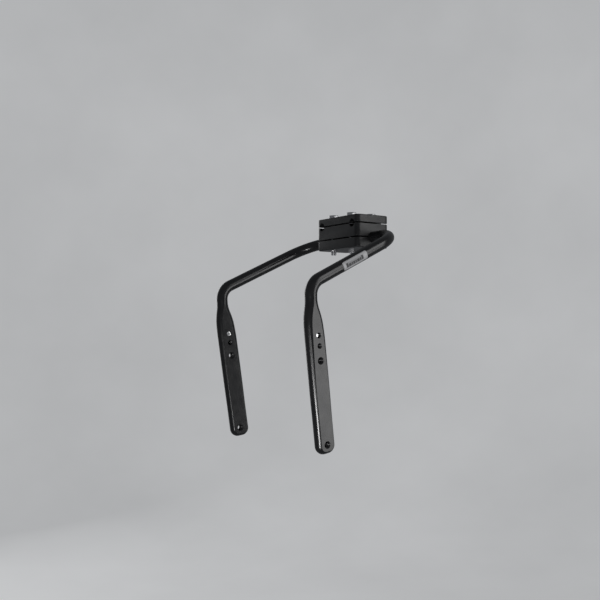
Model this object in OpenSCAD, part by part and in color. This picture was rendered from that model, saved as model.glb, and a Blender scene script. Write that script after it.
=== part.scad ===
/* [Bar] */
// Diameter of the round bar
bar_d = 9.6; // [8:0.1:11]
// Half the distance between the two front bend corners
front_half = 65; // [60:1:80]
// Half the distance between the two rear bend corners
rear_half = 70; // [66:1:90]
// Distance from the crossbar back to the rear bends, legs upright
arm_run = 96.7; // [80:0.1:120]
// Drop from the crossbar to the rear bends, legs upright
arm_drop = 32.4; // [20:0.1:45]
// Centreline radius of the front bends
front_bend_r = 27; // [16:1:30]
// Centreline radius of the rear bends
rear_bend_r = 13.3; // [12:0.1:20]
// Angle at which the bar is set in the clamp, legs forward of upright
set_angle = 7; // [-20:1:25]

/* [Legs] */
// Length of a leg from the bend corner to its tip
leg_len = 129.3; // [128.5:0.1:131]
// Inward lean of a leg
leg_lean = 2; // [0:0.5:4]
// Forward tilt of a leg
leg_pitch = 0.8; // [0:0.1:2]
// Turn of a leg's flat faces about its length, outer face towards the front
leg_yaw = 5; // [0:0.5:6]
// Width of the pressed leg, front to back
leg_w = 16.9; // [15:0.1:18]
// Thickness of the pressed leg
leg_t = 8.8; // [8:0.1:9]
// Radius of the leg's rounded long edges
leg_side_r = 5; // [4.8:0.1:5.4]
// Radius of the leg's lower corners
leg_end_r = 6.5; // [6:0.25:7]
// Distance from the bend corner to the end of the pressed shoulder
shoulder_end = 29; // [26:1:33]

/* [Leg holes] */
// Distance from the bend corner to the top hole and its stud
hole1_z = 38.8; // [37:0.1:41]
// Distance from the bend corner to the small tapped hole
hole2_z = 46.8; // [46:0.1:49]
// Distance from the bend corner to the upper cage hole
hole3_z = 58; // [56:0.1:60]
// Slant of the row of holes against the leg, top hole forward
hole_slant = 0.7; // [0:0.1:0.8]
// Spacing of the two cage holes
cage_pitch = 64; // [63:0.1:64.5]
// Diameter of the top hole that holds the stud
hole1_d = 4.1; // [4:0.1:4.6]
// Diameter of the small tapped hole inside its thread
hole2_d = 3.3; // [3.2:0.1:3.5]
// Diameter of the cage holes inside their thread
cage_d = 4.2; // [4.1:0.1:4.4]

/* [Clamp] */
// Spacing of the two saddle rails
rail_pitch = 44; // [42:0.5:46]
// Diameter of a saddle rail
rail_d = 7; // [7:0.1:7.5]
// Height of the rails above the crossbar
rail_h = 12; // [11.8:0.1:13]
// Width of the clamp across the rails
clamp_w = 59; // [57:1:64]
// Length of the clamp along the rails
clamp_l = 34; // [33:1:40]
// Gap between the halves of the clamp
split = 1; // [0.8:0.1:1.2]
// Thickness of metal over the rails
cap_wall = 3.5; // [3.5:0.1:5]
// Thickness of metal under the crossbar
bar_wall = 4; // [3.5:0.1:6]
// Radial running clearance of the bar in the clamp
bar_clear = 0.05; // [0.03:0.01:0.08]

/* [Bolts] */
// Distance of the bolts in front of and behind the crossbar
bolt_x = 10.5; // [10.2:0.1:10.6]
// Distance of the bolts to either side of the middle
bolt_y = 13; // [12.8:0.1:13.2]
// Length of the bolts under the head
bolt_len = 30; // [29:1:32]

/* [Labels] */
// Distance from the front bend corner to the near edge of the label
label_start = 44; // [40:0.5:46]
// Length of the label along the arm
label_len = 26; // [20:0.5:28]
// Angle that the label wraps round the bar
label_wrap = 85; // [70:1:110]
// Angle of the label below level
label_tilt = 3; // [-10:1:30]
// Thickness of the foil
label_t = 0.15; // [0.1:0.05:0.3]

/* [Hidden] */
$fn = 64;

bar_r = bar_d / 2;
// the bar swells a little where it is bent, and the straights run into the bends
bend_tube_r = bar_r + 0.05;
run_in = 0.6;
bore_r = bar_r + bar_clear;
rail_r = rail_d / 2;
hole4_z = hole3_z + cage_pitch;
end_flat = leg_w / 2 - leg_end_r;

// heights of the clamp's faces above the crossbar's axis
block_lo = split / 2;
block_hi = rail_h - split / 2;
cap_lo = rail_h + split / 2;
cap_hi = rail_h + rail_r + cap_wall;
under_hi = -split / 2;
under_lo = -bore_r - bar_wall;

// M5 socket screws
bolt_d = 5;
head_d = 8.5;
head_h = 5;
socket_af = 4;
hole_d = 5.5;
sink_d = 10.4;
sink_h = 3.2;
washer_h = 1;
washer_d = 10;
tapped_d = bolt_d + 0.04;
seat_z = cap_hi - sink_h;
head_z = seat_z + washer_h;

// ---- vectors -------------------------------------------------------------
function unit(v) = v / norm(v);

// places a child so that its X, Y and Z run along x, y and z from point p
module frame(p, x, y, z) {
    multmatrix([[x[0], y[0], z[0], p[0]],
                [x[1], y[1], z[1], p[1]],
                [x[2], y[2], z[2], p[2]],
                [0, 0, 0, 1]]) children();
}

// corners of the bar's centreline on one side: s = -1 right, s = 1 left
function corner1(s) = [0, s * front_half, 0];
function corner2(s) = [-arm_run, s * rear_half, -arm_drop];
function pitched(v) = [v[0] * cos(leg_pitch) - v[2] * sin(leg_pitch), v[1],
                       v[0] * sin(leg_pitch) + v[2] * cos(leg_pitch)];
function leg_dir(s) = pitched([0, -s * sin(leg_lean), -cos(leg_lean)]);
function leg_out(s) = cos(leg_yaw) * pitched([0, s * cos(leg_lean), -sin(leg_lean)])
                      + sin(leg_yaw) * pitched([1, 0, 0]);

// distance from a corner to where its bend starts
function bend_cut(q, p, s, r) =
    let (a = acos(unit(p - q) * unit(s - q))) r / tan(a / 2);

front_cut = bend_cut(corner1(-1), [0, 0, 0], corner2(-1), front_bend_r);
rear_cut = bend_cut(corner2(-1), corner1(-1), corner2(-1) + 100 * leg_dir(-1), rear_bend_r);

// ---- the round bar -------------------------------------------------------
// straight stretch between two points
module rod(p, q) {
    z = unit(q - p);
    x = unit(cross(abs(z[2]) < 0.9 ? [0, 0, 1] : [1, 0, 0], z));
    frame(p, x, cross(z, x), z) cylinder(r = bar_r, h = norm(q - p));
}

// bend at corner q between the directions of p and s
module bend(p, q, s, r) {
    u = unit(p - q);
    v = unit(s - q);
    a = acos(u * v);
    c = q + unit(u + v) * r / sin(a / 2);
    x = unit(q + u * r / tan(a / 2) - c);
    y = -u;
    frame(c, x, y, cross(x, y))
        rotate_extrude(angle = 180 - a, $fn = 96) translate([r, 0]) circle(r = bend_tube_r, $fn = 48);
}

// ---- the pressed legs ----------------------------------------------------
// section of a pressed stretch: flat faces, rounded edges
module section(w, t, r) {
    intersection() {
        square([w + 1, t], center = true);
        union() {
            square([w - 2 * r, 2 * r], center = true);
            for (k = [-1, 1]) translate([k * (w / 2 - r), 0]) circle(r = r, $fn = 48);
        }
    }
}

// the half of that section outside its axis, for the rounded end
module half_section(w, t, r) {
    intersection() {
        section(w, t, r);
        translate([0, -t]) square([w, 2 * t]);
    }
}

// thin slice used to shape the shoulder
module slice(z, w, t, r) {
    translate([0, 0, z]) linear_extrude(height = 0.02) section(w, t, r, $fn = 32);
}

// how far forward of the leg's middle a hole at that distance lies
function hole_x(z) = (80 - z) * tan(hole_slant);

// z runs down the leg from the bend corner, y points outward; x points
// forward on the right leg and back on the left
module leg_solid(s) {
    mid = (rear_cut + shoulder_end) / 2;
    difference() {
        union() {
            hull() {
                slice(rear_cut - 0.3, bar_d + 0.3, bar_d + 0.3, bar_r + 0.15);
                slice(mid, bar_d + 0.56 * (leg_w - bar_d), bar_d - 0.5 * (bar_d - leg_t), 4.9);
            }
            hull() {
                slice(mid, bar_d + 0.56 * (leg_w - bar_d), bar_d - 0.5 * (bar_d - leg_t), 4.9);
                slice(shoulder_end - 0.02, leg_w, leg_t, leg_side_r);
            }
            translate([0, 0, shoulder_end])
                linear_extrude(height = leg_len - leg_end_r - shoulder_end)
                    section(leg_w, leg_t, leg_side_r);
            translate([0, 0, leg_len - leg_end_r]) {
                // rounded lower corners
                for (k = [0, 1]) mirror([k, 0, 0]) translate([end_flat, 0, 0])
                    rotate([-90, 0, 0]) rotate([0, 0, -90])
                        rotate_extrude(angle = 90, $fn = 96)
                            half_section(2 * leg_end_r, leg_t, leg_side_r);
                // short straight edge between them
                translate([-end_flat, 0, 0]) rotate([0, 90, 0]) rotate([0, 0, 180])
                    linear_extrude(height = 2 * end_flat)
                        half_section(2 * leg_end_r, leg_t, leg_side_r);
            }
        }
        leg_hole(s, hole1_z, hole1_d);
        leg_hole(s, hole2_z, hole2_d);
        leg_hole(s, hole3_z, cage_d);
        leg_hole(s, hole4_z, cage_d);
    }
}

// hole straight through a leg
module leg_hole(s, z, d) {
    translate([-s * hole_x(z), -leg_t, z]) rotate([-90, 0, 0]) cylinder(d = d, h = 2 * leg_t);
}

module side(s) {
    c1 = corner1(s);
    c2 = corner2(s);
    d = leg_dir(s);
    a = unit(c2 - c1);
    bend([0, 0, 0], c1, c2, front_bend_r);
    rod(c1 + a * (front_cut - run_in), c2 - a * (rear_cut - run_in));
    bend(c1, c2, c2 + 100 * d, rear_bend_r);
    n = leg_out(s);
    frame(c2, cross(n, d), n, d) leg_solid(s);
}

// the origin is midway between the rails, so the crossbar lies below it
module under_rails() {
    translate([0, 0, -rail_h]) children();
}

module set_bar() {
    under_rails() rotate([0, -set_angle, 0]) children();
}

module bent_bar() {
    color([0.10, 0.10, 0.105]) set_bar() {
        rod([0, -front_half + front_cut - run_in, 0], [0, front_half - front_cut + run_in, 0]);
        side(-1);
        side(1);
    }
}

// ---- studs in the top holes ------------------------------------------------
// headless stud: plain end below the outer face, socket at the inner face
module stud() {
    d = hole1_d - 0.04;
    difference() {
        union() {
            cylinder(d = d, h = leg_t - 2.3);
            translate([0, 0, leg_t - 2.3]) cylinder(d1 = d, d2 = d - 0.5, h = 0.25);
        }
        translate([0, 0, -1]) cylinder(d = 2 / cos(30), h = 3, $fn = 6);
    }
}

module leg_studs() {
    color([0.85, 0.86, 0.87]) set_bar() for (s = [-1, 1]) {
        d = leg_dir(s);
        n = leg_out(s);
        frame(corner2(s) + d * hole1_z - s * cross(n, d) * hole_x(hole1_z) - n * (leg_t / 2 - 0.5),
              cross(d, n), d, n) stud();
    }
}

// ---- labels --------------------------------------------------------------
module label(s) {
    c1 = corner1(s);
    c2 = corner2(s);
    a = unit(c2 - c1);
    // level direction pointing outward from the arm
    lv = unit(cross(s * a, [0, 0, 1]));
    up = cross(lv, a) * s;
    x = lv * cos(label_tilt) - unit(up) * sin(label_tilt);
    frame(c1 + a * label_start, x, cross(a, x), a)
        rotate([0, 0, -label_wrap / 2])
            rotate_extrude(angle = label_wrap, $fn = 96)
                translate([bar_r + 0.01, 0]) square([label_t, label_len]);
}

module label_right() { color([0.78, 0.78, 0.79]) set_bar() label(-1); }
module label_left() { color([0.78, 0.78, 0.79]) set_bar() label(1); }

// ---- clamp ---------------------------------------------------------------
// rectangle with rounded corners
module plate(l, w, r) {
    square([l - 2 * r, w], center = true);
    square([l, w - 2 * r], center = true);
    for (x = [-1, 1], y = [-1, 1])
        translate([x * (l / 2 - r), y * (w / 2 - r)]) circle(r = r, $fn = 48);
}

// one jaw of the clamp, from height lo to hi, with its top or bottom edge relieved
module jaw(lo, hi, top, bottom) {
    c = 0.8;
    translate([0, 0, lo + (bottom ? c : 0)])
        linear_extrude(height = hi - lo - (bottom ? c : 0) - (top ? c : 0))
            plate(clamp_l, clamp_w, 4);
    if (top) translate([0, 0, hi - c])
        linear_extrude(height = c) plate(clamp_l - 2 * c, clamp_w - 2 * c, 4 - c);
    if (bottom) translate([0, 0, lo])
        linear_extrude(height = c) plate(clamp_l - 2 * c, clamp_w - 2 * c, 4 - c);
}

module at_bolts() {
    for (x = [-1, 1], y = [-1, 1]) translate([x * bolt_x, y * bolt_y, 0]) children();
}

module rail_grooves() {
    for (y = [-1, 1]) translate([-clamp_l, y * rail_pitch / 2, rail_h])
        rotate([0, 90, 0]) cylinder(r = rail_r, h = 2 * clamp_l);
}

module bar_bore() {
    translate([0, -clamp_w, 0]) rotate([-90, 0, 0]) cylinder(r = bore_r, h = 2 * clamp_w);
}

module rail_cap() {
    color([0.12, 0.12, 0.125]) under_rails() difference() {
        jaw(cap_lo, cap_hi, true, false);
        rail_grooves();
        at_bolts() {
            translate([0, 0, cap_lo - 1]) cylinder(d = hole_d, h = cap_hi - cap_lo + 2);
            translate([0, 0, seat_z]) cylinder(d = sink_d, h = sink_h + 1);
        }
        // shallow relief in the middle of the top face
        translate([0, 0, cap_hi - 1.2]) linear_extrude(height = 2) plate(12, 8, 2.5);
    }
}

module clamp_block() {
    color([0.12, 0.12, 0.125]) under_rails() difference() {
        jaw(block_lo, block_hi, false, false);
        rail_grooves();
        bar_bore();
        at_bolts() translate([0, 0, -1]) cylinder(d = hole_d, h = block_hi + 2);
    }
}

module bar_cap() {
    color([0.12, 0.12, 0.125]) under_rails() difference() {
        jaw(under_lo, under_hi, false, true);
        bar_bore();
        at_bolts() translate([0, 0, under_lo - 1]) cylinder(d = tapped_d, h = -under_lo + 1);
    }
}

// ---- fasteners -----------------------------------------------------------
module screw() {
    difference() {
        union() {
            translate([0, 0, -bolt_len + 0.6]) cylinder(d = bolt_d, h = bolt_len - 0.6);
            translate([0, 0, -bolt_len]) cylinder(d1 = bolt_d - 1.2, d2 = bolt_d, h = 0.6);
            cylinder(d = head_d, h = head_h - 0.5);
            translate([0, 0, head_h - 0.5]) cylinder(d1 = head_d, d2 = head_d - 1, h = 0.5);
        }
        translate([0, 0, head_h - 2.5])
            cylinder(d = socket_af / cos(30), h = 3, $fn = 6);
    }
}

module cap_bolts() {
    color([0.74, 0.75, 0.77]) under_rails() at_bolts() translate([0, 0, head_z]) screw();
}

module bolt_washers() {
    color([0.70, 0.71, 0.73]) under_rails() at_bolts() translate([0, 0, seat_z]) difference() {
        cylinder(d = washer_d, h = washer_h);
        translate([0, 0, -1]) cylinder(d = bolt_d + 0.3, h = washer_h + 2);
    }
}

bent_bar();
clamp_block();
rail_cap();
bar_cap();
cap_bolts();
bolt_washers();
leg_studs();
label_right();
label_left();
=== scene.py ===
import math

import bmesh
import bpy
import numpy as np
from mathutils import Matrix, Vector


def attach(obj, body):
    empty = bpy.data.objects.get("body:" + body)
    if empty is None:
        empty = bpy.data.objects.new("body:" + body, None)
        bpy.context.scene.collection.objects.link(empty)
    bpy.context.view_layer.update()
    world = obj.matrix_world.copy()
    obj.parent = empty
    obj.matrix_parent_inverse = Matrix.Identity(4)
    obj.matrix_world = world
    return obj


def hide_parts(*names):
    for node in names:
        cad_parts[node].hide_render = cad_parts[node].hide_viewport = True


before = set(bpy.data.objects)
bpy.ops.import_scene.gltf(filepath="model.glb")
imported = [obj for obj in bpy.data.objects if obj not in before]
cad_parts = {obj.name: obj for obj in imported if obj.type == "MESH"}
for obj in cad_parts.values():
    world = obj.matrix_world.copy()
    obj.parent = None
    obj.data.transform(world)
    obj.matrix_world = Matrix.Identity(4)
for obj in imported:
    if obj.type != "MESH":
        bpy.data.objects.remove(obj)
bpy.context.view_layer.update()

scene = bpy.context.scene

# ---------------------------------------------------------------------------
# the shape in millimetres, legs upright; to_row turns it to the row frame
# ---------------------------------------------------------------------------
BAR_R = 4.8
FRONT_HALF, REAR_HALF = 65.0, 70.0
ARM_RUN, ARM_DROP = 96.7, 32.4
FRONT_R, REAR_R = 27.0, 13.3
LEAN = math.radians(2.0)
PITCH, YAW = math.radians(0.8), math.radians(5.0)
SET = math.radians(7.0)
LEG_L = 129.3
LEG_C, LEG_RS = 3.45, 5.0         # section: side arcs of radius 5 centred 3.45 mm from the middle
END_R = 6.5
AXIS_Z = -12.0
HOLES = ((38.8, "plain", 2.05, 0.0, 0.14), (46.8, "thread", 1.65, 0.70, 0.50),
         (58.0, "thread", 2.10, 0.80, 0.80), (122.0, "thread", 2.10, 0.80, 0.80))

SLANT = math.radians(0.7)         # of the row of holes against the leg

ROW = np.array([[math.cos(SET), 0, -math.sin(SET)], [0, 1, 0], [math.sin(SET), 0, math.cos(SET)]])


def unit(v):
    v = np.asarray(v, float)
    return v / np.linalg.norm(v)


def to_row(p):
    """Millimetres with the legs upright to metres in the row frame."""
    return (np.asarray(p, float) @ ROW.T + np.array([0, 0, AXIS_Z])) / 1000


def turn(k, a):
    k = unit(k)
    K = np.array([[0, -k[2], k[1]], [k[2], 0, -k[0]], [-k[1], k[0], 0]])
    return np.eye(3) + math.sin(a) * K + (1 - math.cos(a)) * K @ K


def corner1(s):
    return np.array([0, s * FRONT_HALF, 0.0])


def corner2(s):
    return np.array([-ARM_RUN, s * REAR_HALF, -ARM_DROP])


def pitched(v):
    x, y, z = v
    return np.array([x * math.cos(PITCH) - z * math.sin(PITCH), y, x * math.sin(PITCH) + z * math.cos(PITCH)])


def leg_dir(s):
    return pitched((0, -s * math.sin(LEAN), -math.cos(LEAN)))


def leg_out(s):
    return math.cos(YAW) * pitched((0, s * math.cos(LEAN), -math.sin(LEAN))) + math.sin(YAW) * pitched((1, 0, 0))


def hole_centre(s, z):
    n, d = leg_out(s), leg_dir(s)
    return corner2(s) + d * z - s * np.cross(n, d) * (80 - z) * math.tan(SLANT)


def curve(points):
    """Smooth interpolation through (z, value) pairs, flat outside them."""
    z, v = np.array(points, float).T
    h, d = np.diff(z), np.diff(v) / np.diff(z)
    m = np.zeros(len(z))
    for i in range(1, len(z) - 1):
        if d[i - 1] * d[i] > 0:
            w1, w2 = 2 * h[i] + h[i - 1], h[i] + 2 * h[i - 1]
            m[i] = (w1 + w2) / (w1 / d[i - 1] + w2 / d[i])

    def f(x):
        x = min(max(x, z[0]), z[-1])
        i = min(max(int(np.searchsorted(z, x)) - 1, 0), len(z) - 2)
        t = (x - z[i]) / h[i]
        return float((2 * t**3 - 3 * t**2 + 1) * v[i] + (t**3 - 2 * t**2 + t) * h[i] * m[i]
                     + (-2 * t**3 + 3 * t**2) * v[i + 1] + (t**3 - t**2) * h[i] * m[i + 1])

    return f


# how the round bar becomes the pressed leg, by distance from the bend corner
leg_c = curve([(11.0, 0.0), (15.9, 0.46), (18.1, 0.93), (20.4, 1.54), (22.7, 2.11), (25.0, 2.60),
               (27.3, 3.00), (29.6, 3.27), (33.0, 3.50), (42.0, 3.80), (55.0, 3.80), (90.0, LEG_C), (105.0, 3.28)])
leg_rs = curve([(12.0, BAR_R), (21.0, 4.78), (31.0, 4.74), (55.0, 4.76), (90.0, LEG_RS)])
leg_ht = curve([(8.8, BAR_R), (12.0, 4.77), (16.0, 4.72), (20.4, 4.69), (25.0, 4.64), (30.0, 4.61),
                (38.0, 4.58), (50.0, 4.47), (67.0, 4.30), (100.0, 4.18)])
pressed = curve([(8.6, 0.0), (12.5, 0.45), (17.0, 1.0)])
leg_shift = curve([(8.6, 0.0), (12.7, -0.28), (18.8, -0.55), (24.9, -0.38), (31.0, -0.22), (37.0, -0.12), (43.0, 0.0)])

ARC, FIL = 14, 4      # rows on a side arc and on the small rounding beside a flat
FILLET = 0.42


def quarter(z):
    """Section rows from the side (q = 0) to the middle of the flat, as x, y with both positive."""
    c, rs, ht = leg_c(z), leg_rs(z), leg_ht(z)
    # round layout
    ang = np.radians(np.r_[np.linspace(0, 62, ARC + 1), np.linspace(62, 76, FIL + 1)[1:], 79.5, 84.75, 90])
    ring = np.c_[BAR_R * np.cos(ang), BAR_R * np.sin(ang)]
    w = pressed(z)
    if w <= 0:
        return ring
    # pressed layout
    rf = FILLET
    xf = c + math.sqrt(max((rs - rf) ** 2 - (ht - rf) ** 2, 0))
    beta = math.atan2(ht - rf, xf - c)
    arc = [(c + rs * math.cos(a), rs * math.sin(a)) for a in np.linspace(0, beta, ARC + 1)]
    fil = [(xf + rf * math.cos(a), ht - rf + rf * math.sin(a)) for a in np.linspace(beta, math.pi / 2, FIL + 1)[1:]]
    inset = min(0.25, 0.3 * xf)
    flat = [(xf - inset, ht), ((xf - inset) / 2, ht), (0.0, ht)]
    return ring * (1 - w) + np.array(arc + fil + flat) * w


Q = ARC + FIL + 3       # index of the middle row


def full_ring(z):
    """The whole section: outer side from front to rear, then inner side back."""
    q = quarter(z)
    a = q                                  # front, outer
    b = q[:-1][::-1] * [-1, 1]             # rear, outer
    c = q[1:] * [-1, -1]                   # rear, inner
    d = q[1:-1][::-1] * [1, -1]            # front, inner
    return np.vstack([a, b, c, d])


def bar_side(s):
    """Vertices and faces of one half of the bar, from the middle of the crossbar to the leg's tip."""
    c1, c2, d, n = corner1(s), corner2(s), leg_dir(s), leg_out(s)
    up = unit(c1 - c2)
    # rear bend, from the leg up to the arm
    a = math.acos(up @ d)
    cut2 = REAR_R / math.tan(a / 2)
    p0 = c2 + d * cut2
    cen2 = c2 + unit(up + d) * REAR_R / math.sin(a / 2)
    k2, ang2 = np.cross(-d, up), math.pi - a
    # front bend, from the arm to the crossbar
    mid = np.array([0, -s, 0.0])
    b = math.acos(mid @ -up)
    cut1 = FRONT_R / math.tan(b / 2)
    cen1 = c1 + unit(mid - up) * FRONT_R / math.sin(b / 2)
    k1, ang1 = np.cross(up, mid), math.pi - b
    ex0, ey0 = np.cross(n, d), n
    stations = []          # (point, ex, ey, z or None), from the leg's end up to the crossbar's middle
    z_end = LEG_L - END_R
    zs = np.r_[np.linspace(z_end, 40, 20)[:-1], np.linspace(40, cut2, 46)]
    for z in zs:
        stations.append((c2 + d * z, ex0, ey0, z))
    steps = 30
    for i in range(1, steps + 1):
        R = turn(k2, ang2 * i / steps)
        # how far along the leg this would be, so that the pressing fades into the bend
        stations.append((cen2 + R @ (p0 - cen2), R @ ex0, R @ ey0, cut2 - REAR_R * ang2 * i / steps))
    R2 = turn(k2, ang2)
    ex1, ey1 = R2 @ ex0, R2 @ ey0
    q0, q1 = c2 + up * cut2, c1 - up * cut1
    for t in np.linspace(0, 1, 26)[1:]:
        stations.append((q0 + (q1 - q0) * t, ex1, ey1, None))
    for i in range(1, 37):
        R = turn(k1, ang1 * i / 36)
        stations.append((cen1 + R @ (q1 - cen1), R @ ex1, R @ ey1, None))
    R1 = turn(k1, ang1)
    ex2, ey2 = R1 @ ex1, R1 @ ey1
    r0 = c1 + mid * cut1
    for t in np.linspace(0, 1, 16)[1:]:
        stations.append((r0 * (1 - t), ex2, ey2, None))
    verts, faces = [], []
    rings = []
    for p, ex, ey, z in stations:
        ring = full_ring(0.0 if z is None else z)
        shift = 0.0 if z is None else leg_shift(z)
        rings.append(len(verts))
        verts += [p + ex * (x + shift) + ey * y for x, y in ring]
    n_ring = len(full_ring(0.0))
    for i in range(len(rings) - 1):
        for j in range(n_ring):
            k = (j + 1) % n_ring
            faces.append((rings[i] + j, rings[i] + k, rings[i + 1] + k, rings[i + 1] + j))
    # the rounded end: each side row runs round the tip to its twin on the other edge
    q = quarter(z_end)
    hw = q[0][0]
    ex_off = hw - END_R
    rows = ARC + FIL + 1           # rows up to the edge of the flat

    def ring_index(qi, xs, ys):
        """Index in the last station's ring of quarter row qi on side xs, face ys."""
        if ys > 0:
            return qi if xs > 0 else 2 * Q - qi
        if qi == 0:
            return 0 if xs > 0 else 2 * Q
        return 2 * Q + qi if xs < 0 else (4 * Q - qi) % (4 * Q)

    K, S = 12, 3
    track = []
    for t in np.linspace(0, math.pi / 2, K + 1):
        track.append((1, t))
    for f in np.linspace(0, 1, S + 1)[1:-1]:
        track.append((0, f))
    for t in np.linspace(math.pi / 2, math.pi, K + 1):
        track.append((-1, t))

    def tip_point(qi, item):
        delta = hw - q[qi][0]
        r = END_R - delta
        kind, t = item
        if kind == 0:
            return ex_off * (1 - 2 * t), z_end + r
        cx = ex_off if kind == 1 else -ex_off
        return cx + r * math.cos(t), z_end + r * math.sin(t)

    grid = {}
    for ys in (1, -1):
        for qi in range(rows):
            for ti, item in enumerate(track):
                if ti == 0:
                    idx = rings[0] + ring_index(qi, 1, ys)
                elif ti == len(track) - 1:
                    idx = rings[0] + ring_index(qi, -1, ys)
                elif qi == 0 and ys == -1:
                    idx = grid[1, 0, ti]
                else:
                    x, z = tip_point(qi, item)
                    idx = len(verts)
                    verts.append(c2 + d * z + ex0 * x + ey0 * (ys * q[qi][1]))
                grid[ys, qi, ti] = idx
    for ys in (1, -1):
        for qi in range(rows - 1):
            for ti in range(len(track) - 1):
                f = (grid[ys, qi, ti], grid[ys, qi + 1, ti], grid[ys, qi + 1, ti + 1], grid[ys, qi, ti + 1])
                faces.append(f if ys > 0 else f[::-1])
        # an inner loop close to the edge of the flat keeps the flat's shading flat
        inner = {}
        for ti, item in enumerate(track[1:-1], 1):
            delta = hw - q[rows - 1][0] + 0.25
            r = END_R - delta
            kind, t = item
            if kind == 0:
                x, z = ex_off * (1 - 2 * t), z_end + r
            else:
                x, z = (ex_off if kind == 1 else -ex_off) + r * math.cos(t), z_end + r * math.sin(t)
            inner[ti] = len(verts)
            verts.append(c2 + d * z + ex0 * x + ey0 * (ys * q[rows - 1][1]))
        inner[0] = rings[0] + ring_index(rows, 1, ys)
        inner[len(track) - 1] = rings[0] + ring_index(rows, -1, ys)
        for ti in range(len(track) - 1):
            f = (grid[ys, rows - 1, ti], inner[ti], inner[ti + 1], grid[ys, rows - 1, ti + 1])
            faces.append(f if ys > 0 else f[::-1])
        loop = [inner[ti] for ti in range(len(track))]
        back = [rings[0] + ring_index(qi, -1, ys) for qi in range(rows + 1, Q)]
        back += [rings[0] + ring_index(Q, 1, ys)]
        back += [rings[0] + ring_index(qi, 1, ys) for qi in range(Q - 1, rows, -1)]
        poly = loop + back
        faces.append(tuple(poly[::-1]) if ys > 0 else tuple(poly))
    return np.array(verts), faces


def mesh_object(name, verts, faces, row=True):
    m = bpy.data.meshes.new(name)
    m.from_pydata([tuple(v) for v in (to_row(verts) if row else np.asarray(verts, float) / 1000)], [], faces)
    o = bpy.data.objects.new(name, m)
    scene.collection.objects.link(o)
    return o


def clean(o, weld=2e-7):
    bm = bmesh.new()
    bm.from_mesh(o.data)
    bmesh.ops.remove_doubles(bm, verts=bm.verts, dist=weld)
    bmesh.ops.recalc_face_normals(bm, faces=bm.faces)
    bm.to_mesh(o.data)
    bm.free()
    o.data.update()


def shade(o, degrees=32.0):
    o.data.polygons.foreach_set("use_smooth", [True] * len(o.data.polygons))
    o.data.set_sharp_from_angle(angle=math.radians(degrees))
    o.data.update()


def cut(target, cutters, operation="DIFFERENCE"):
    """Exact booleans of target with each cutter, baked into the mesh; the cutters go."""
    for c in cutters:
        mod = target.modifiers.new("cut", "BOOLEAN")
        mod.operation, mod.solver, mod.object = operation, "EXACT", c
    bpy.context.view_layer.update()
    deps = bpy.context.evaluated_depsgraph_get()
    baked = bpy.data.meshes.new_from_object(target.evaluated_get(deps))
    target.modifiers.clear()
    old = target.data
    target.data = baked
    bpy.data.meshes.remove(old)
    for c in cutters:
        data = c.data
        bpy.data.objects.remove(c)
        bpy.data.meshes.remove(data)


def grid_tube(radius, zs, turns=48):
    """Closed tube about Z: radius(angle, z) in millimetres at heights zs."""
    verts, faces = [], []
    for z in zs:
        for i in range(turns):
            a = 2 * math.pi * i / turns
            r = radius(a, z)
            verts.append((r * math.cos(a), r * math.sin(a), z))
    for j in range(len(zs) - 1):
        for i in range(turns):
            k = (i + 1) % turns
            faces.append((j * turns + i, j * turns + k, (j + 1) * turns + k, (j + 1) * turns + i))
    faces.append(tuple(range(turns))[::-1])
    faces.append(tuple((len(zs) - 1) * turns + i for i in range(turns)))
    return np.array(verts), faces


def placed(verts, origin, x, y, z):
    return origin + verts @ np.array([x, y, z])


def thread_wave(a, z, pitch):
    """0 at a thread's crest and 1 at its root, with small flats."""
    t = (z / pitch - a / (2 * math.pi)) % 1.0
    tri = 1 - abs(2 * t - 1)
    return min(max((tri - 0.12) / 0.70, 0.0), 1.0)


# ---------------------------------------------------------------------------
# materials
# ---------------------------------------------------------------------------
def material(name):
    m = bpy.data.materials.new(name)
    m.use_nodes = True
    nt = m.node_tree
    return m, nt, nt.nodes["Principled BSDF"] if "Principled BSDF" in nt.nodes else None


def node(nt, kind, **values):
    n = nt.nodes.new(kind)
    for k, v in values.items():
        if hasattr(n, k):
            setattr(n, k, v)
        else:
            n.inputs[k].default_value = v
    return n


def noise(nt, coord, scale, detail=3.0, rough=0.55):
    n = node(nt, "ShaderNodeTexNoise")
    n.inputs["Scale"].default_value = scale
    n.inputs["Detail"].default_value = detail
    n.inputs["Roughness"].default_value = rough
    nt.links.new(coord, n.inputs["Vector"])
    return n.outputs["Fac"]


def remap(nt, value, lo, hi, a=0.0, b=1.0):
    n = node(nt, "ShaderNodeMapRange")
    n.inputs["From Min"].default_value = a
    n.inputs["From Max"].default_value = b
    n.inputs["To Min"].default_value = lo
    n.inputs["To Max"].default_value = hi
    nt.links.new(value, n.inputs["Value"])
    return n.outputs["Result"]


def mix_colour(nt, fac, a, b):
    n = node(nt, "ShaderNodeMix")
    n.data_type = "RGBA"
    for sock, val in ((6, a), (7, b)):
        if isinstance(val, (tuple, list)):
            n.inputs[sock].default_value = (*val, 1.0)
        else:
            nt.links.new(val, n.inputs[sock])
    if isinstance(fac, float):
        n.inputs[0].default_value = fac
    else:
        nt.links.new(fac, n.inputs[0])
    return n.outputs[2]


def bump(nt, bsdf, height, strength, distance, normal=None):
    n = node(nt, "ShaderNodeBump")
    n.inputs["Strength"].default_value = strength
    n.inputs["Distance"].default_value = distance
    nt.links.new(height, n.inputs["Height"])
    if normal is not None:
        nt.links.new(normal, n.inputs["Normal"])
    nt.links.new(n.outputs["Normal"], bsdf.inputs["Normal"])
    return n.outputs["Normal"]


def coords(nt):
    return node(nt, "ShaderNodeTexCoord").outputs["Object"]


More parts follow.
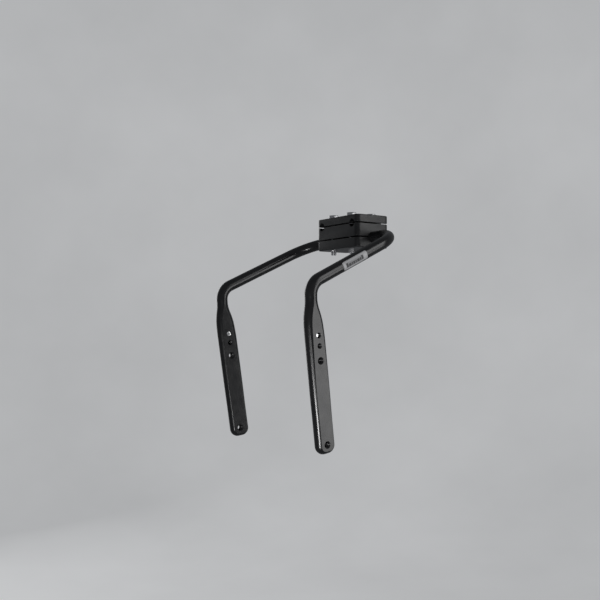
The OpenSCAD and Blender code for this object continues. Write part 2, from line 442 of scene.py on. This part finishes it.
def black_metal(name, base, base2, rough_lo, rough_hi, grain, grain_depth, ior):
    m, nt, b = material(name)
    c = coords(nt)
    cloud = noise(nt, c, 140.0, 4.0)
    fine = noise(nt, c, 2600.0, 2.0)
    nt.links.new(mix_colour(nt, remap(nt, cloud, 0, 1, 0.35, 0.65), base, base2), b.inputs["Base Color"])
    both = node(nt, "ShaderNodeMath", operation="ADD")
    nt.links.new(remap(nt, cloud, rough_lo, rough_hi, 0.3, 0.7), both.inputs[0])
    nt.links.new(remap(nt, fine, -0.02, 0.02, 0.3, 0.7), both.inputs[1])
    nt.links.new(both.outputs[0], b.inputs["Roughness"])
    bump(nt, b, noise(nt, c, grain, 2.0, 0.6), 0.35, grain_depth)
    b.inputs["IOR"].default_value = ior
    return m


MAT_BAR = black_metal("black_bar", (0.0060, 0.0060, 0.0066), (0.0085, 0.0085, 0.0090), 0.20, 0.27, 5200.0, 0.000004, 1.46)
MAT_CLAMP = black_metal("black_clamp", (0.0080, 0.0080, 0.0088), (0.0125, 0.0125, 0.0132), 0.34, 0.44, 3800.0, 0.000025, 1.46)


def steel(name, colour, dark, rough_lo, rough_hi, scale=420.0, rings=None):
    m, nt, b = material(name)
    c = coords(nt)
    cloud = noise(nt, c, scale, 4.0)
    nt.links.new(mix_colour(nt, remap(nt, cloud, 0, 1, 0.3, 0.7), dark, colour), b.inputs["Base Color"])
    nt.links.new(remap(nt, cloud, rough_hi, rough_lo, 0.3, 0.7), b.inputs["Roughness"])
    b.inputs["Metallic"].default_value = 1.0
    if rings:
        sep = node(nt, "ShaderNodeSeparateXYZ")
        nt.links.new(c, sep.inputs[0])
        comb = node(nt, "ShaderNodeCombineXYZ")
        nt.links.new(sep.outputs[0], comb.inputs[0])
        nt.links.new(sep.outputs[1], comb.inputs[1])
        length = node(nt, "ShaderNodeVectorMath", operation="LENGTH")
        nt.links.new(comb.outputs[0], length.inputs[0])
        wave = node(nt, "ShaderNodeMath", operation="MULTIPLY")
        nt.links.new(length.outputs["Value"], wave.inputs[0])
        wave.inputs[1].default_value = rings
        line = node(nt, "ShaderNodeTexNoise")
        line.noise_dimensions = "1D"
        line.inputs["Scale"].default_value = 1.0
        nt.links.new(wave.outputs[0], line.inputs["W"])
        bump(nt, b, line.outputs["Fac"], 0.4, 0.00002)
    else:
        bump(nt, b, noise(nt, c, 3000.0, 2.0), 0.25, 0.000006)
    return m


MAT_SCREW = steel("screw_steel", (0.66, 0.66, 0.67), (0.50, 0.50, 0.51), 0.22, 0.36)
MAT_WASHER = steel("washer_steel", (0.70, 0.70, 0.71), (0.55, 0.55, 0.56), 0.26, 0.38, rings=26000.0)
MAT_STUD = steel("stud_steel", (0.92, 0.92, 0.92), (0.84, 0.84, 0.84), 0.16, 0.24, rings=20000.0)


def label_material():
    """Foil label: pale edge, a darker printed panel and a row of plain blocks. The label's UV runs in millimetres."""
    m, nt, b = material("label_foil")
    uv = node(nt, "ShaderNodeUVMap")
    uv.uv_map = "label"
    sep = node(nt, "ShaderNodeSeparateXYZ")
    nt.links.new(uv.outputs[0], sep.inputs[0])
    u, v = sep.outputs[0], sep.outputs[1]

    def math_node(op, a, bb=None, clamp=False):
        n = node(nt, "ShaderNodeMath", operation=op)
        n.use_clamp = clamp
        for i, val in enumerate((a, bb)):
            if val is None:
                continue
            if isinstance(val, (int, float)):
                n.inputs[i].default_value = val
            else:
                nt.links.new(val, n.inputs[i])
        return n.outputs[0]

    def block(u0, u1, v0, v1, r=0.25, soft=0.06):
        """1 inside a rounded rectangle."""
        du = math_node("SUBTRACT", math_node("ABSOLUTE", math_node("SUBTRACT", u, (u0 + u1) / 2)), (u1 - u0) / 2 - r)
        dv = math_node("SUBTRACT", math_node("ABSOLUTE", math_node("SUBTRACT", v, (v0 + v1) / 2)), (v1 - v0) / 2 - r)
        du, dv = math_node("MAXIMUM", du, 0.0), math_node("MAXIMUM", dv, 0.0)
        dist = math_node("SQRT", math_node("ADD", math_node("MULTIPLY", du, du), math_node("MULTIPLY", dv, dv)))
        n = node(nt, "ShaderNodeMapRange")
        n.clamp = True
        n.inputs["From Min"].default_value = r + soft
        n.inputs["From Max"].default_value = r - soft
        nt.links.new(dist, n.inputs["Value"])
        return n.outputs["Result"]

    c = coords(nt)
    grain = noise(nt, c, 900.0, 3.0)
    foil = mix_colour(nt, remap(nt, grain, 0, 1, 0.3, 0.7), (0.362, 0.364, 0.370), (0.415, 0.417, 0.423))
    panel = block(4.2, 23.6, -2.1, 1.8, 0.35)
    col = mix_colour(nt, panel, foil, (0.24, 0.242, 0.248))
    # one line of plain blocks, the outer two taller
    blocks = [(4.7, 6.5), (7.0, 8.5), (9.0, 11.6), (12.1, 13.4), (13.9, 15.8), (16.3, 17.6), (18.1, 20.6), (21.1, 23.1)]
    ink = None
    for i, (a, e) in enumerate(blocks):
        k = block(a, e, -1.75, 1.45 if i in (0, len(blocks) - 1) else 0.55, 0.25)
        ink = k if ink is None else math_node("MAXIMUM", ink, k)
    col = mix_colour(nt, ink, col, (0.034, 0.034, 0.036))
    nt.links.new(col, b.inputs["Base Color"])
    nt.links.new(remap(nt, grain, 0.50, 0.60, 0.3, 0.7), b.inputs["Roughness"])
    nt.links.new(remap(nt, panel, 0.20, 0.06), b.inputs["Metallic"])
    both = node(nt, "ShaderNodeMath", operation="MULTIPLY_ADD")
    nt.links.new(ink, both.inputs[0])
    both.inputs[1].default_value = 1.0
    nt.links.new(grain, both.inputs[2])
    bump(nt, b, both.outputs[0], 0.25, 0.00001)
    return m


MAT_LABEL = label_material()


def floor_material():
    m, nt, b = material("pale_floor")
    c = coords(nt)
    n1, n2 = noise(nt, c, 2.2, 4.0), noise(nt, c, 60.0, 3.0)
    col = mix_colour(nt, remap(nt, n1, 0, 1, 0.3, 0.7), (0.60, 0.605, 0.61), (0.66, 0.665, 0.67))
    nt.links.new(col, b.inputs["Base Color"])
    nt.links.new(remap(nt, n2, 0.72, 0.84, 0.3, 0.7), b.inputs["Roughness"])
    b.inputs["Specular IOR Level"].default_value = 0.1
    nt.links.new(col, b.inputs["Emission Color"])
    b.inputs["Emission Strength"].default_value = 0.42
    return m


def finish_piece(o, body, mat, nodes, angle=32.0):
    shade(o, angle)
    o.data.materials.clear()
    o.data.materials.append(mat)
    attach(o, body)
    for n in nodes:
        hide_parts(n)
    return o


# ---------------------------------------------------------------------------
# the bent bar
# ---------------------------------------------------------------------------
def build_bar():
    v, f = bar_side(-1)
    other = v * [1, -1, 1]
    n = len(v)
    faces = f + [tuple(i + n for i in face[::-1]) for face in f]
    o = mesh_object("bent_bar_looks", np.vstack([v, other]), faces)
    clean(o)
    cutters = []
    for s in (-1, 1):
        c2, d, nrm = corner2(s), leg_dir(s), leg_out(s)
        x = np.cross(nrm, d)
        for z, kind, r, pitch, ch in HOLES:
            ht = leg_ht(z)
            top = ht + 0.6
            if kind == "thread":
                depth = 0.40 if r > 2 else 0.34
                zs = np.r_[-top, np.linspace(-ht - 0.02, ht + 0.02, int(2 * ht / pitch * 7) + 1), top]

                def radius(a, h, r=r, pitch=pitch, depth=depth, ht=ht, ch=ch):
                    return max(r + depth * thread_wave(a, h, pitch), r + ch + abs(h) - ht)
            else:
                zs = np.r_[-top, np.linspace(-ht, -ht + ch + 0.1, 4), np.linspace(ht - ch - 0.1, ht, 4), top]

                def radius(a, h, r=r, ht=ht, ch=ch):
                    return max(r, r + ch + abs(h) - ht)
            tv, tf = grid_tube(radius, zs, 40)
            c = mesh_object("cutter", placed(tv, hole_centre(s, z), x, -d, nrm), tf)
            clean(c)
            cutters.append(c)
    cut(o, cutters)
    clean(o, 1e-8)
    return finish_piece(o, "bar", MAT_BAR, ["bent_bar"])


bar = build_bar()


# ---------------------------------------------------------------------------
# studs in the top holes
# ---------------------------------------------------------------------------
def lathe(profile, turns=48, hexes=()):
    """Closed solid of revolution about Z from (r, z) pairs; both ends on or off the axis."""
    verts, faces = [], []
    rings = []
    for r, z in profile:
        if r < 1e-9:
            rings.append([len(verts)])
            verts.append((0, 0, z))
        else:
            base = len(verts)
            rings.append(list(range(base, base + turns)))
            for i in range(turns):
                a = 2 * math.pi * i / turns
                verts.append((r * math.cos(a), r * math.sin(a), z))
    for a, b in zip(rings, rings[1:]):
        for i in range(turns):
            k = (i + 1) % turns
            if len(a) == 1 and len(b) == 1:
                continue
            if len(a) == 1:
                faces.append((a[0], b[k], b[i]))
            elif len(b) == 1:
                faces.append((a[i], a[k], b[0]))
            else:
                faces.append((a[i], a[k], b[k], b[i]))
    for ring in (rings[0], rings[-1]):
        if len(ring) > 1:
            faces.append(tuple(ring))
    return np.array(verts, float), faces


def hex_prism(af, z0, z1, cone=0.0):
    r = af / 2 / math.cos(math.pi / 6)
    verts = [(r * math.cos(math.pi * i / 3), r * math.sin(math.pi * i / 3), z) for z in (z0, z1) for i in range(6)]
    faces = [(i, (i + 1) % 6, 6 + (i + 1) % 6, 6 + i) for i in range(6)]
    if cone:
        verts.append((0, 0, z0 - cone))
        faces += [(12, (i + 1) % 6, i) for i in range(6)]
    else:
        faces.append((5, 4, 3, 2, 1, 0))
    faces.append((6, 7, 8, 9, 10, 11))
    return np.array(verts, float), faces


def build_stud(s, name):
    z, _, r, _, _ = HOLES[0]
    c2, d, nrm = corner2(s), leg_dir(s), leg_out(s)
    x = np.cross(nrm, d)
    r -= 0.02
    lo, hi = -3.9, 2.7
    profile = [(1.55, lo), (1.75, lo + 0.02), (r - 0.06, lo + 0.24), (r, lo + 0.34), (r, hi - 0.34),
               (r - 0.05, hi - 0.24), (r - 0.28, hi - 0.05), (r - 0.42, hi), (0.9, hi + 0.07), (0.0, hi + 0.10)]
    v, f = lathe(profile)
    o = mesh_object(name, placed(v, hole_centre(s, z), x, -d, nrm), f)
    clean(o)
    hv, hf = hex_prism(2.0, lo - 1, lo + 2.0)
    hv[:6, 2], hv[6:, 2] = lo - 1, lo + 2.0
    h = mesh_object("cutter", placed(hv, hole_centre(s, z), x, -d, nrm), hf)
    clean(h)
    cut(o, [h])
    # the object's own origin sits on the stud's axis, so that turned rings are centred
    recentre(o, to_row(hole_centre(s, z)), ROW @ x, ROW @ -d, ROW @ nrm)
    return finish_piece(o, "bar", MAT_STUD, ["leg_studs"], 30)


def recentre(o, origin, x, y, z):
    m = Matrix(np.array([x, y, z]).T.tolist()).to_4x4()
    m.translation = Vector(origin)
    o.data.transform(m.inverted())
    o.matrix_world = m


build_stud(-1, "stud_right")
build_stud(1, "stud_left")


# ---------------------------------------------------------------------------
# labels
# ---------------------------------------------------------------------------
def build_label(s, name):
    start, length, wrap, tilt = 44.0, 26.0, math.radians(85), math.radians(3)
    c1, c2 = corner1(s), corner2(s)
    a = unit(c2 - c1)
    lv = unit(np.cross(s * a, [0, 0, 1]))
    upv = np.cross(lv, a) * s
    x = lv * math.cos(tilt) - unit(upv) * math.sin(tilt)
    y = np.cross(a, x)                 # turns from x towards y
    if y @ np.array([0, 0, 1]) < 0:
        flip = -1
    else:
        flip = 1
    half = wrap / 2 * BAR_R            # half width along the arc
    rc = 1.1
    us = []
    n_c = 7
    for i in range(n_c + 1):
        t = math.pi / 2 * i / n_c
        us.append((rc - rc * math.cos(t), half - rc + rc * math.sin(t)))
    body = [(u, half) for u in np.linspace(rc, length - rc, 26)[1:-1]]
    prof = us + body + [(length - u, w) for u, w in us[::-1]]
    nv = 26
    verts, faces, uvs = [], [], []
    r_in, r_mid, r_out = BAR_R + 0.015, BAR_R + 0.11, BAR_R + 0.15

    def point(u, arc, r):
        ang = flip * arc / BAR_R
        return c1 + a * (start + u) + (x * math.cos(ang) + y * math.sin(ang)) * r

    outer, rim, inner = [], [], []
    for u, w in prof:
        row_o = []
        for j in range(nv + 1):
            t = -1 + 2 * j / nv
            # rows spread evenly across the sheet, stopping just short of its edge
            row_o.append(len(verts))
            verts.append(point(u, t * (w - 0.05), r_out))
            uvs.append((u, t * (w - 0.05)))
        outer.append(row_o)
    for i in range(len(prof) - 1):
        for j in range(nv):
            faces.append((outer[i][j], outer[i][j + 1], outer[i + 1][j + 1], outer[i + 1][j]))
    # border loop of the sheet, then the same loop a little wider and lower, then at the bar
    loop = [outer[i][0] for i in range(len(prof))] + [outer[-1][j] for j in range(1, nv + 1)]
    loop += [outer[i][nv] for i in range(len(prof) - 2, -1, -1)] + [outer[0][j] for j in range(nv - 1, 0, -1)]
    mid_uv = (length / 2, 0.0)

    def grown(idx, extra, r):
        u, w = uvs[idx]
        k = 0.05 * extra
        u2 = u + (k if u > length - rc else -k if u < rc else 0)
        w2 = w + math.copysign(k, w) if abs(w) > half - rc - 0.2 else w
        verts.append(point(u2, w2, r))
        uvs.append((u2, w2))
        return len(verts) - 1

    loop2 = [grown(i, 1.0, r_mid) for i in loop]
    loop3 = [grown(i, 1.0, r_in) for i in loop]
    for A, B in ((loop, loop2), (loop2, loop3)):
        for i in range(len(A)):
            k = (i + 1) % len(A)
            faces.append((A[i], B[i], B[k], A[k]))
    # underside: a copy of the sheet at the bar
    under = {}
    for i, row in enumerate(outer):
        for j, idx in enumerate(row):
            if i in (0, len(outer) - 1) or j in (0, nv):
                under[idx] = loop3[loop.index(idx)]
            else:
                u, w = uvs[idx]
                under[idx] = len(verts)
                verts.append(point(u, w, r_in))
                uvs.append((u, w))
    for i in range(len(prof) - 1):
        for j in range(nv):
            faces.append(tuple(under[k] for k in (outer[i + 1][j], outer[i + 1][j + 1], outer[i][j + 1], outer[i][j])))
    o = mesh_object(name, np.array(verts), faces)
    layer = o.data.uv_layers.new(name="label")
    mirror = s  # the print reads the same way up on both arms
    for loop_ in o.data.loops:
        u, w = uvs[loop_.vertex_index]
        layer.data[loop_.index].uv = (u if s < 0 else length - u, w)
    bm = bmesh.new()
    bm.from_mesh(o.data)
    bmesh.ops.recalc_face_normals(bm, faces=bm.faces)
    bm.to_mesh(o.data)
    bm.free()
    return finish_piece(o, "bar", MAT_LABEL, ["label_right" if s < 0 else "label_left"], 40)


build_label(-1, "foil_label_right")
build_label(1, "foil_label_left")


# ---------------------------------------------------------------------------
# clamp, in millimetres above the crossbar's axis, in the row frame
# ---------------------------------------------------------------------------
CL, CW, CR = 34.0, 59.0, 4.0
RAIL_Y, RAIL_R, RAIL_H = 22.0, 3.5, 12.0
BOLT_X, BOLT_Y = 10.5, 13.0
BORE_R = 4.85


def plate_ring(l, w, r, n=10):
    pts = []
    for cx, cy, a0 in ((1, 1, 0), (-1, 1, 90), (-1, -1, 180), (1, -1, 270)):
        for i in range(n + 1):
            a = math.radians(a0 + 90 * i / n)
            pts.append((cx * (l / 2 - r) + r * math.cos(a), cy * (w / 2 - r) + r * math.sin(a)))
    return pts


def plate_solid(name, lo, hi, top, bottom):
    """Rounded plate between two heights, with edge roundings of those radii."""
    levels = []

    def edge(z, r, sign):
        out = []
        if r <= 0:
            return [(z, 0.0)]
        for i in range(7):
            t = math.radians(90 * i / 6)
            out.append((z - sign * (r - r * math.cos(t)), r - r * math.sin(t)))
        return out
    low = [(lo + (bottom - bottom * math.sin(math.radians(90 * i / 6))), bottom - bottom * math.cos(math.radians(90 * i / 6)))
           for i in range(6, -1, -1)] if bottom else [(lo, 0.0)]
    high = [(hi - (top - top * math.sin(math.radians(90 * i / 6))), top - top * math.cos(math.radians(90 * i / 6)))
            for i in range(0, 7)] if top else [(hi, 0.0)]
    levels = low + high
    verts, faces = [], []
    n = len(plate_ring(1, 1, 0.1))
    for z, inset in levels:
        verts += [(x, y, z) for x, y in plate_ring(CL - 2 * inset, CW - 2 * inset, CR - inset)]
    for j in range(len(levels) - 1):
        for i in range(n):
            k = (i + 1) % n
            faces.append((j * n + i, j * n + k, (j + 1) * n + k, (j + 1) * n + i))
    faces.append(tuple(range(n))[::-1])
    faces.append(tuple((len(levels) - 1) * n + i for i in range(n)))
    o = mesh_object(name, np.array(verts) + [0, 0, AXIS_Z], faces, row=False)
    clean(o)
    return o


def cyl_cutter(profile, at, turns=48):
    """Upright cutter from (r, z) pairs at (x, y)."""
    v, f = lathe(profile, turns)
    v = v + [at[0], at[1], AXIS_Z]
    o = mesh_object("cutter", v, f, row=False)
    clean(o)
    return o


def groove_cutter(axis, centre, r, face, ch, reach, turns=72):
    """Long round cutter along axis X or Y, its mouth chamfered where it meets the plane at height face."""
    off = face - centre[1]
    half = math.sqrt(max(r * r - off * off, 0))
    up = 1 if off <= 0 else -1           # side of the plane that the groove opens away from
    pts = [(r * math.cos(2 * math.pi * i / turns), r * math.sin(2 * math.pi * i / turns)) for i in range(turns)]
    verts, faces = [], []
    for e in (-reach, reach):
        for a, b in pts:
            verts.append((e, centre[0] + a, centre[1] + b) if axis == "x" else (centre[0] + a, e, centre[1] + b))
    for i in range(turns):
        k = (i + 1) % turns
        faces.append((i, k, turns + k, turns + i))
    faces += [tuple(range(turns))[::-1], tuple(range(turns, 2 * turns))]
    o = mesh_object("cutter", np.array(verts) + [0, 0, AXIS_Z], faces, row=False)
    clean(o)
    out = [o]
    if ch:
        w0, w1 = half + ch, half - 0.35
        sgn = 1 if face > centre[1] else -1
        return out + [wedge(axis, centre[0], face, w0, ch, reach, sgn, inward=True)]
    return out


def wedge(axis, mid, face, half, ch, reach, sgn, inward):
    """Trapezoid that breaks the two edges of a groove's mouth at height face; the groove lies on the side -sgn... of it."""
    top, bot = face + 0.3 * sgn, face - ch * sgn
    w_top, w_bot = half + 0.3, half - ch
    prof = [(-w_bot, bot), (w_bot, bot), (w_top, top), (-w_top, top)]
    verts = []
    for e in (-reach, reach):
        for a, b in prof:
            verts.append((e, mid + a, b) if axis == "x" else (mid + a, e, b))
    faces = [(0, 1, 5, 4), (1, 2, 6, 5), (2, 3, 7, 6), (3, 0, 4, 7), (3, 2, 1, 0), (4, 5, 6, 7)]
    o = mesh_object("cutter", np.array(verts) + [0, 0, AXIS_Z], faces, row=False)
    clean(o)
    return o


def bolt_spots():
    return [(x * BOLT_X, y * BOLT_Y) for x in (-1, 1) for y in (-1, 1)]


def build_clamp():
    # upper jaw
    lo, hi = 12.5, 19.0
    cap = plate_solid("upper_jaw", lo, hi, 1.0, 0.25)
    cutters = []
    for y in (-1, 1):
        cutters += groove_cutter("x", (y * RAIL_Y, RAIL_H), RAIL_R, lo, 0, 40)
        cutters.append(wedge("x", y * RAIL_Y, lo, math.sqrt(RAIL_R**2 - 0.25) + 0.4, 0.4, 40, -1, True))
    for at in bolt_spots():
        cutters.append(cyl_cutter([(3.15, lo - 1), (3.15, lo), (2.75, lo + 0.4), (2.75, 16.1), (2.75, 15.8 + 0.0), (5.2, 15.8),
                                   (5.2, hi - 0.35), (5.75, hi + 0.2), (5.75, hi + 1)], at))
    cut(cap, cutters)
    relief = relief_cutter(hi)
    cut(cap, [relief])
    clean(cap, 1e-8)
    finish_piece(cap, "clamp", MAT_CLAMP, ["rail_cap"], 28)
    # middle block
    lo, hi = 0.5, 11.5
    block = plate_solid("middle_block", lo, hi, 0.3, 0.3)
    cutters = []
    for y in (-1, 1):
        cutters += groove_cutter("x", (y * RAIL_Y, RAIL_H), RAIL_R, hi, 0, 40)
        cutters.append(wedge("x", y * RAIL_Y, hi, math.sqrt(RAIL_R**2 - 0.25) + 0.4, 0.4, 40, 1, True))
    cutters += groove_cutter("y", (0.0, 0.0), BORE_R, lo, 0, 50)
    cutters.append(wedge("y", 0.0, lo, math.sqrt(BORE_R**2 - 0.25) + 0.4, 0.4, 50, -1, True))
    for at in bolt_spots():
        cutters.append(cyl_cutter([(3.1, -1), (3.1, lo), (2.75, lo + 0.35), (2.75, hi - 0.35), (3.1, hi), (3.1, hi + 1)], at))
    cut(block, cutters)
    clean(block, 1e-8)
    finish_piece(block, "clamp", MAT_CLAMP, ["clamp_block"], 28)
    # lower jaw
    lo, hi = -8.85, -0.5
    low = plate_solid("lower_jaw", lo, hi, 0.25, 1.0)
    cutters = groove_cutter("y", (0.0, 0.0), BORE_R, hi, 0, 50)
    cutters.append(wedge("y", 0.0, hi, math.sqrt(BORE_R**2 - 0.25) + 0.4, 0.4, 50, 1, True))
    for at in bolt_spots():
        cutters.append(cyl_cutter([(2.95, lo - 1), (2.95, lo), (2.55, lo + 0.4), (2.55, hi - 0.4), (2.95, hi), (2.95, hi + 1)], at))
    cut(low, cutters)
    clean(low, 1e-8)
    finish_piece(low, "clamp", MAT_CLAMP, ["bar_cap"], 28)


def relief_cutter(hi):
    """Shallow pocket with rounded corners in the middle of the top."""
    n = 8
    verts, faces = [], []
    levels = [(hi - 1.2, 0.0), (hi - 0.3, 0.0), (hi + 0.3, 0.6)]
    count = 0
    for z, grow in levels:
        ring = []
        for cx, cy, a0 in ((1, 1, 0), (-1, 1, 90), (-1, -1, 180), (1, -1, 270)):
            for i in range(n + 1):
                a = math.radians(a0 + 90 * i / n)
                r = 2.5 + grow
                ring.append((cx * (6 - 2.5) + r * math.cos(a), cy * (4 - 2.5) + r * math.sin(a), z))
        count = len(ring)
        verts += ring
    for j in range(len(levels) - 1):
        for i in range(count):
            k = (i + 1) % count
            faces.append((j * count + i, j * count + k, (j + 1) * count + k, (j + 1) * count + i))
    faces.append(tuple(range(count))[::-1])
    faces.append(tuple((len(levels) - 1) * count + i for i in range(count)))
    o = mesh_object("cutter", np.array(verts) + [0, 0, AXIS_Z], faces, row=False)
    clean(o)
    return o


build_clamp()


# ---------------------------------------------------------------------------
# clamp screws and washers
# ---------------------------------------------------------------------------
def build_screws():
    head_lo, head_hi, tip = 16.8, 21.8, -13.2
    knurls = 36
    turns = knurls * 4
    # head: knurled side between two plain rims
    hv, hf = [], []
    prof = [(2.3, head_lo), (3.9, head_lo), (4.15, head_lo + 0.12), (4.2, head_lo + 0.35), (4.25, head_lo + 0.42),
            (4.25, head_hi - 1.05), (4.2, head_hi - 0.98), (4.15, head_hi - 0.62), (3.95, head_hi - 0.25), (3.7, head_hi - 0.04),
            (3.5, head_hi), (2.45, head_hi)]

    def ridge(a, r, z):
        if not head_lo + 0.4 < z < head_hi - 1.0:
            return r
        t = (a * knurls / (2 * math.pi)) % 1.0
        return r - 0.13 * (1 - abs(2 * t - 1)) ** 1.2
    rings = []
    for r, z in prof:
        rings.append(len(hv))
        for i in range(turns):
            a = 2 * math.pi * i / turns
            rr = ridge(a, r, z)
            hv.append((rr * math.cos(a), rr * math.sin(a), z))
    for j in range(len(rings) - 1):
        for i in range(turns):
            k = (i + 1) % turns
            hf.append((rings[j] + i, rings[j] + k, rings[j + 1] + k, rings[j + 1] + i))
    hf.append(tuple(rings[0] + i for i in range(turns))[::-1])
    hf.append(tuple(rings[-1] + i for i in range(turns)))
    # shank: plain upper part, real helical thread on the lower part
    zs = np.r_[tip, tip + 0.12, np.linspace(tip + 0.2, -5.0, 100), -4.8, 17.0]

    def shank(a, z):
        if z > -4.9:
            return 2.3
        fade = min(1.0, (z - tip) / 0.75)
        limit = 1.85 + (2.48 - 1.85) * fade
        return min(2.48 - 0.44 * thread_wave(a, z, 0.8), limit)
    sv, sf = grid_tube(shank, zs, 40)
    for i, (x, y) in enumerate(bolt_spots(), 1):
        spin = 0.37 * i + 0.2 * i * i
        R = turn([0, 0, 1], spin)
        origin = np.array([x, y, AXIS_Z])
        head = mesh_object(f"clamp_screw_{i}", hv @ R.T + origin, hf, row=False)
        clean(head)
        pv, pf = hex_prism(4.0, head_hi - 2.6, head_hi + 1, cone=0.0)
        key = mesh_object("cutter", pv @ R.T + origin, pf, row=False)
        clean(key)
        cone_v, cone_f = lathe([(0.0, head_hi - 0.55), (2.62, head_hi + 0.12), (2.62, head_hi + 1)], 48)
        cone = mesh_object("cutter", cone_v + origin, cone_f, row=False)
        clean(cone)
        rod_ = mesh_object("rod", sv @ R.T + origin, sf, row=False)
        clean(rod_)
        cut(head, [key, cone])
        cut(head, [rod_], "UNION")
        recentre(head, (origin / 1000), R[:, 0], R[:, 1], R[:, 2])
        finish_piece(head, "clamp", MAT_SCREW, ["cap_bolts"], 30)
        # washer
        wv, wf = lathe([(2.65, 15.8), (4.85, 15.8), (5.0, 15.93), (5.0, 16.62), (4.86, 16.78), (4.7, 16.8), (2.8, 16.8), (2.65, 16.7), (2.65, 15.8)], 72)
        w = mesh_object(f"washer_{i}", wv + origin, wf[: 8 * 72], row=False)
        clean(w)
        recentre(w, origin / 1000, np.array([1.0, 0, 0]), np.array([0, 1.0, 0]), np.array([0, 0, 1.0]))
        finish_piece(w, "clamp", MAT_WASHER, ["bolt_washers"], 30)


build_screws()

# ---------------------------------------------------------------------------
# stage, light, camera
# ---------------------------------------------------------------------------
CAM_POS = Vector((-0.45475, -0.60635, -0.08754))
RIGHT = Vector((0.8345747838, -0.5508917005, 0.0018068133))
UP = Vector((-0.0181827342, -0.0242676901, 0.9995401279))
BACK = Vector((-0.5505945137, -0.8342238390, -0.0302699196))

FLOOR_Z = -0.60


def build_stage():
    """Pale floor that curves up all round into a pale wall and dome; it only serves as the backdrop."""
    prof = [(0.0, 0.0), (0.35, 0.0), (0.7, 0.0), (1.0, 0.0)]
    r = 0.9
    for i in range(1, 17):
        a = math.radians(90 * i / 16)
        prof.append((1.0 + r * math.sin(a), r - r * math.cos(a)))
    prof += [(1.9, 1.3), (1.9, 1.7)]
    for i in range(1, 13):
        a = math.radians(90 * i / 12)
        prof.append((1.9 * math.cos(a), 1.7 + 1.9 * math.sin(a)))
    prof[-1] = (0.0, 3.6)
    verts, faces = lathe(prof, 96)
    verts = verts + [-0.05, 0.0, FLOOR_Z]
    m = bpy.data.meshes.new("studio_floor")
    m.from_pydata([tuple(v) for v in verts], [], faces)
    o = bpy.data.objects.new("studio_floor", m)
    scene.collection.objects.link(o)
    m.polygons.foreach_set("use_smooth", [True] * len(m.polygons))
    m.materials.append(floor_material())
    # the backdrop neither shades the object nor shows in its gloss
    o.visible_glossy = False
    o.visible_diffuse = False
    o.visible_shadow = False
    return o


def area(name, pos, target, w, h, radiance, spread=180):
    """Soft rectangular light of the given radiance, hidden from the camera itself."""
    lamp = bpy.data.lights.new(name, "AREA")
    lamp.shape = "RECTANGLE"
    lamp.size, lamp.size_y = w, h
    lamp.energy = radiance * math.pi * w * h      # a Lambertian panel's power
    lamp.spread = math.radians(spread)
    o = bpy.data.objects.new(name, lamp)
    scene.collection.objects.link(o)
    o.location = pos
    o.rotation_euler = (Vector(target) - Vector(pos)).to_track_quat("-Z", "Y").to_euler()
    o.visible_camera = False
    return o


build_stage()
leg = Vector((-0.095, -0.072, -0.12))


def towards(azimuth, elevation, distance):
    """Point at that distance from the near leg; azimuth 0 is straight out to the right, and it grows towards the front."""
    a, e = math.radians(azimuth), math.radians(elevation)
    return leg + Vector((math.sin(a) * math.cos(e), -math.cos(a) * math.cos(e), math.sin(e))) * distance


area("key_panel", towards(42.5, -4.8, 0.92), leg, 0.44, 0.41, 3.2)
area("upper_panel", towards(36, 28, 1.0), leg, 0.50, 0.58, 2.8)
area("low_panel", towards(-56, -26.0, 0.53), leg, 0.12, 0.10, 6.4, spread=70)
area("low_panel_dim", towards(-36, -15.0, 0.50), leg, 0.10, 0.10, 1.3, spread=90)
area("left_panel", towards(178, 6, 1.35), (-0.06, 0.07, -0.1), 0.7, 0.7, 1.5)
area("wall_wash", (0.40, 0.62, 0.55), (1.25, 1.85, 0.0), 1.8, 0.7, 0.5)

world = bpy.data.worlds.new("studio")
scene.world = world
world.use_nodes = True
bg = world.node_tree.nodes["Background"]
bg.inputs[0].default_value = (0.92, 0.95, 1.0, 1.0)
bg.inputs[1].default_value = 0.17

cam_data = bpy.data.cameras.new("camera")
cam_data.sensor_width = 36.0
cam_data.sensor_fit = "HORIZONTAL"
cam_data.lens = 36.0 * 867.736 / 600.0
cam_data.clip_start, cam_data.clip_end = 0.02, 30.0
cam = bpy.data.objects.new("camera", cam_data)
scene.collection.objects.link(cam)
rot = Matrix((RIGHT, UP, BACK)).transposed()
cam.matrix_world = Matrix.Translation(CAM_POS) @ rot.to_4x4()
scene.camera = cam
scene.view_settings.view_transform = "Standard"
scene.view_settings.look = "None"
